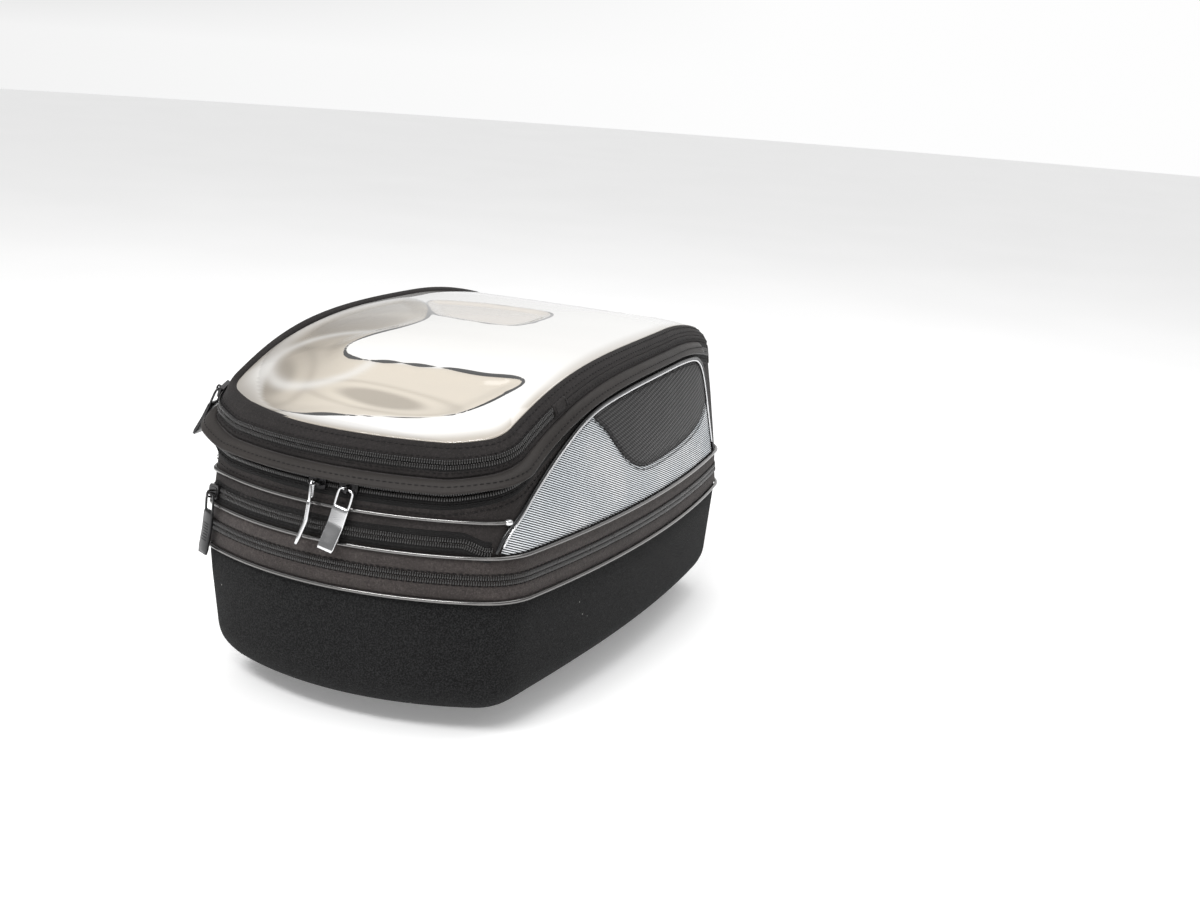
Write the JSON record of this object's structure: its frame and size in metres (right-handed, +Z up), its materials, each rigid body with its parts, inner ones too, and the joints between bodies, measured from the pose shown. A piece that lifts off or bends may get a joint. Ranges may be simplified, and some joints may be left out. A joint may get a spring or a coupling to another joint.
{
  "type": "motorcycle tank bag",
  "caption": "Expandable motorcycle tank bag with moulded base, zipped lid, clear map pocket, side panels and a quick-release ring underneath.",
  "frame": {"origin": "centre of the bounding box's bottom face, on the ground under the quick-release ring; the vertical axis is also the centre of the rear panel's arc", "axes": "+X to the rider's right, +Y to the front of the motorcycle, +Z up"},
  "size_m": [0.254, 0.4055, 0.2144],
  "materials": {
    "moulded_shell": "matte black laminated fabric over moulded foam, fine fuzz",
    "ballistic_fabric": "matte black woven polyester",
    "flap_fabric": "smooth coated twill, faint sheen",
    "silver_fabric": "silver grey striped coated fabric, satin",
    "insert_fabric": "black ribbed fabric",
    "piping": "glossy dark grey plastic-covered piping",
    "zip_coil": "black nylon coil, satin",
    "slider_metal": "gloss black lacquered zinc",
    "puller_metal": "polished gunmetal plating",
    "moulded_plastic": "black fibre-filled plastic, satin",
    "release_plastic": "red plastic, satin",
    "steel": "bright zinc plated steel",
    "clear_film": "clear glossy flexible film",
    "board_foam": "black foam board",
    "backing_fabric": "light beige grey ribbed fabric"
  },
  "bodies": {
    "base": {"base_tray": "moulded_shell", "base_board": "board_foam", "adapter_plate": "moulded_plastic", "lock_ring": "moulded_plastic", "adapter_screw_1": "steel", "adapter_screw_2": "steel", "adapter_screw_3": "steel", "adapter_screw_4": "steel", "latch_spring": "steel", "piping_base": "piping", "base_band": "ballistic_fabric", "expansion_coil_lower": "zip_coil"},
    "latch": {"latch_bolt": "moulded_plastic", "latch_release_tab": "release_plastic"},
    "upper_body": {"expansion_coil_upper": "zip_coil", "waist_band": "ballistic_fabric", "expansion_gusset": "ballistic_fabric", "piping_waist": "piping", "upper_wall": "ballistic_fabric", "piping_rear": "piping", "pocket_coil_lower": "zip_coil", "pocket_coil_upper": "zip_coil", "pocket_lining": "ballistic_fabric", "side_piping_right": "piping", "side_piping_left": "piping", "side_panel_right": "silver_fabric", "side_panel_left": "silver_fabric", "side_insert_right": "insert_fabric", "side_insert_left": "insert_fabric", "main_coil_lower": "zip_coil", "carry_handle": "ballistic_fabric"},
    "lid": {"lid_skirt": "ballistic_fabric", "main_coil_upper": "zip_coil", "rain_flap": "flap_fabric", "lid_border": "ballistic_fabric", "lid_board": "backing_fabric", "map_coil_lower": "zip_coil", "map_zip_tab_right": "ballistic_fabric", "map_zip_tab_left": "ballistic_fabric", "map_window_front": "clear_film"},
    "map_flap": {"map_flap_border": "ballistic_fabric", "map_coil_upper": "zip_coil", "map_window_rear": "clear_film"},
    "main_right_slide": {"main_right_slider": "slider_metal"},
    "main_right_pull": {"main_right_puller": "puller_metal"},
    "main_left_slide": {"main_left_slider": "slider_metal"},
    "main_left_pull": {"main_left_puller": "puller_metal"},
    "pocket_slide": {"pocket_slider": "slider_metal"},
    "pocket_pull": {"pocket_puller": "slider_metal"},
    "map_slide": {"map_slider": "slider_metal"},
    "map_pull": {"map_puller": "slider_metal"},
    "expansion_slide": {"expansion_slider": "slider_metal"},
    "expansion_pull": {"expansion_puller": "slider_metal"}
  },
  "joints": [
    {"name": "expansion", "type": "slide", "parent": "base", "child": "upper_body", "axis": [0, 0, 1], "range_m": [0, 0.05]},
    {"name": "lid_hinge", "type": "hinge", "parent": "upper_body", "child": "lid", "pos_m": [0, 0.1776, 0.1769], "axis": [-1, 0, 0], "range_deg": [0, 100]},
    {"name": "map_flap_hinge", "type": "hinge", "parent": "lid", "child": "map_flap", "pos_m": [0, -0.104, 0.1995], "axis": [-1, 0, 0], "range_deg": [0, 60]},
    {"name": "main_right_travel", "type": "hinge", "parent": "upper_body", "child": "main_right_slide", "pos_m": [0, 0, 0.1433], "axis": [0, 0, 1], "range_deg": [0, 16]},
    {"name": "main_left_travel", "type": "hinge", "parent": "upper_body", "child": "main_left_slide", "pos_m": [0, 0, 0.1433], "axis": [0, 0, 1], "range_deg": [-9, 0]},
    {"name": "pocket_travel", "type": "hinge", "parent": "upper_body", "child": "pocket_slide", "pos_m": [0, 0, 0.1185], "axis": [0, 0, 1], "range_deg": [0, 7]},
    {"name": "map_travel", "type": "slide", "parent": "lid", "child": "map_slide", "axis": [-0.0593, 0.9111, 0.408], "range_m": [0, 0.02]},
    {"name": "expansion_travel", "type": "hinge", "parent": "base", "child": "expansion_slide", "pos_m": [0, -0.3084, 0.098], "axis": [0, 0, 1], "range_deg": [0, 16]},
    {"name": "main_right_swing", "type": "hinge", "parent": "main_right_slide", "child": "main_right_pull", "pos_m": [0.02118, -0.18886, 0.14241], "axis": [-0.9713, -0.0821, 0.2234], "range_deg": [0, 100]},
    {"name": "main_left_swing", "type": "hinge", "parent": "main_left_slide", "child": "main_left_pull", "pos_m": [0.00101, -0.19235, 0.14313], "axis": [-1, -0.0052, 0], "range_deg": [0, 30]},
    {"name": "pocket_swing", "type": "hinge", "parent": "pocket_slide", "child": "pocket_pull", "pos_m": [-0.08352, -0.17511, 0.11761], "axis": [-0.9026, 0.4305, 0], "range_deg": [0, 100]},
    {"name": "map_swing", "type": "hinge", "parent": "map_slide", "child": "map_pull", "pos_m": [-0.10642, -0.13834, 0.17178], "axis": [-0.1529, 0.9882, 0], "range_deg": [0, 60]},
    {"name": "expansion_swing", "type": "hinge", "parent": "expansion_slide", "child": "expansion_pull", "pos_m": [0.06999, 0.18961, 0.09669], "axis": [0.9903, -0.1392, 0], "range_deg": [0, 100]},
    {"name": "latch_release", "type": "slide", "parent": "base", "child": "latch", "axis": [0, -1, 0], "range_m": [0, 0.007], "stiffness_N_per_m": 400, "springref_m": -0.004, "deforming": ["latch_spring"]}
  ]
}
